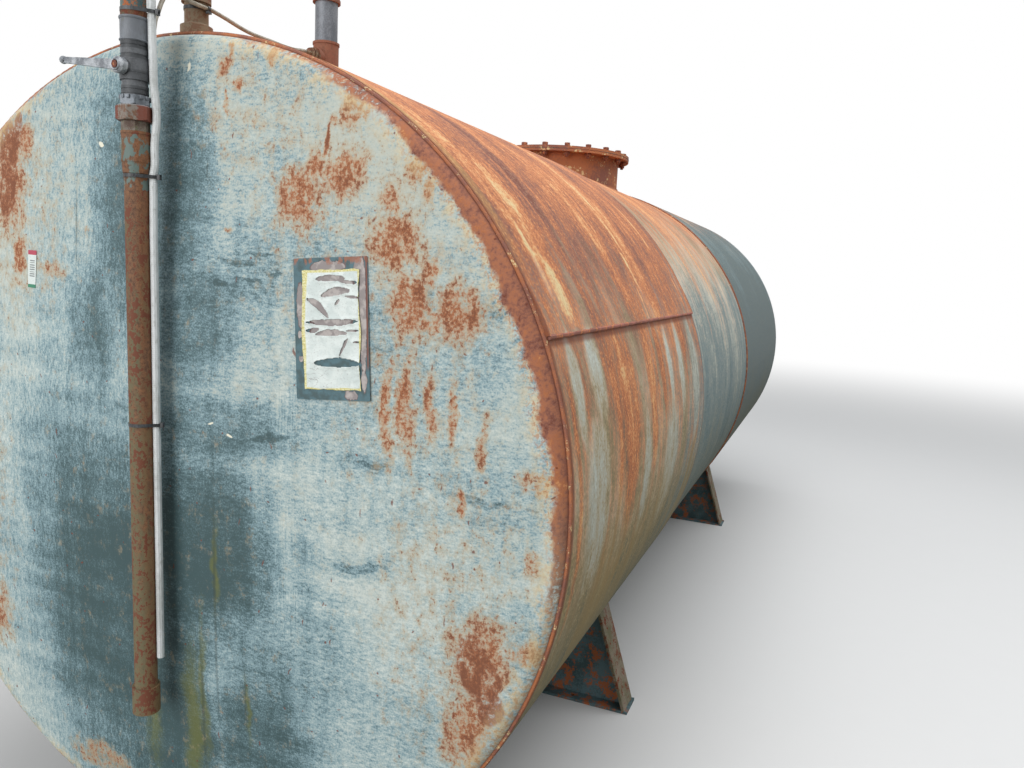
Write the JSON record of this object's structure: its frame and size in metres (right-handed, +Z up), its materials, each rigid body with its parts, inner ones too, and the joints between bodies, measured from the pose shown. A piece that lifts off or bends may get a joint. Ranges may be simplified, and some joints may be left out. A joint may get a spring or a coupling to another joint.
{
  "type": "horizontal oil storage tank",
  "caption": "Horizontal cylindrical oil storage tank of lapped steel courses with dished heads, on two saddles, with a manhole, a vent, and a suction riser with a ball valve.",
  "frame": {"origin": "on the ground, under the middle of the whole object's box", "axes": "+Z up, +Y along the tank from the riser's end to the far end, +X to the right as seen from the riser's end"},
  "size_m": [1.9, 5.1006, 2.596],
  "materials": {
    "course_paint": "weathered paint with rust",
    "head_paint": "weathered matt paint",
    "saddle_paint": "weathered matt paint",
    "saddle_strip": "bare weathered steel",
    "manhole_steel": "rusted paint",
    "rusty_pipe": "rusted",
    "teal_pipe": "worn paint",
    "coupling_sleeve": "matt",
    "valve_body": "black coated",
    "valve_lever": "weathered cast",
    "lever_bolt": "rusted",
    "galvanised": "weathered zinc",
    "collar_brass": "dull plated",
    "conduit_plastic": "weathered",
    "cable_jacket": "matt",
    "tie_plastic": "satin",
    "label_film": "old backing film"
  },
  "bodies": {
    "tank": {"shell_course_near": "course_paint", "shell_course_middle": "course_paint", "shell_course_far": "course_paint", "head_near": "head_paint", "head_far": "head_paint", "saddle_near_web": "saddle_paint", "saddle_near_base": "saddle_paint", "saddle_far_web": "saddle_paint", "saddle_far_base": "saddle_paint", "saddle_near_strip_left": "saddle_strip", "saddle_near_strip_right": "saddle_strip", "saddle_far_strip_left": "saddle_strip", "saddle_far_strip_right": "saddle_strip", "manhole_neck": "manhole_steel", "manhole_flange": "manhole_steel", "manhole_cover": "manhole_steel", "suction_stub": "rusty_pipe", "suction_elbow_rear": "rusty_pipe", "suction_elbow_front": "rusty_pipe", "union_nut": "rusty_pipe", "riser_socket": "rusty_pipe", "riser_pipe": "rusty_pipe", "riser_end_socket": "rusty_pipe", "vent_tee": "rusty_pipe", "vent_collar": "rusty_pipe", "crossover_pipe": "teal_pipe", "riser_upper_pipe": "teal_pipe", "riser_coupling": "coupling_sleeve", "valve_body": "valve_body", "union_ring": "galvanised", "vent_pipe_lower": "galvanised", "vent_pipe_upper": "galvanised", "vent_cap": "galvanised", "union_collar": "collar_brass", "conduit": "conduit_plastic", "sensor_cable": "cable_jacket", "cable_ties": "tie_plastic", "vent_port_plug": "rusty_pipe", "label": "label_film"},
    "lever": {"valve_lever": "valve_lever", "lever_bolt": "lever_bolt"}
  },
  "joints": [
    {"name": "lever_turn", "type": "hinge", "parent": "tank", "child": "lever", "pos_m": [0, -2.5007, 1.9057], "axis": [0, 1, 0], "range_deg": [0, 83.6]}
  ]
}
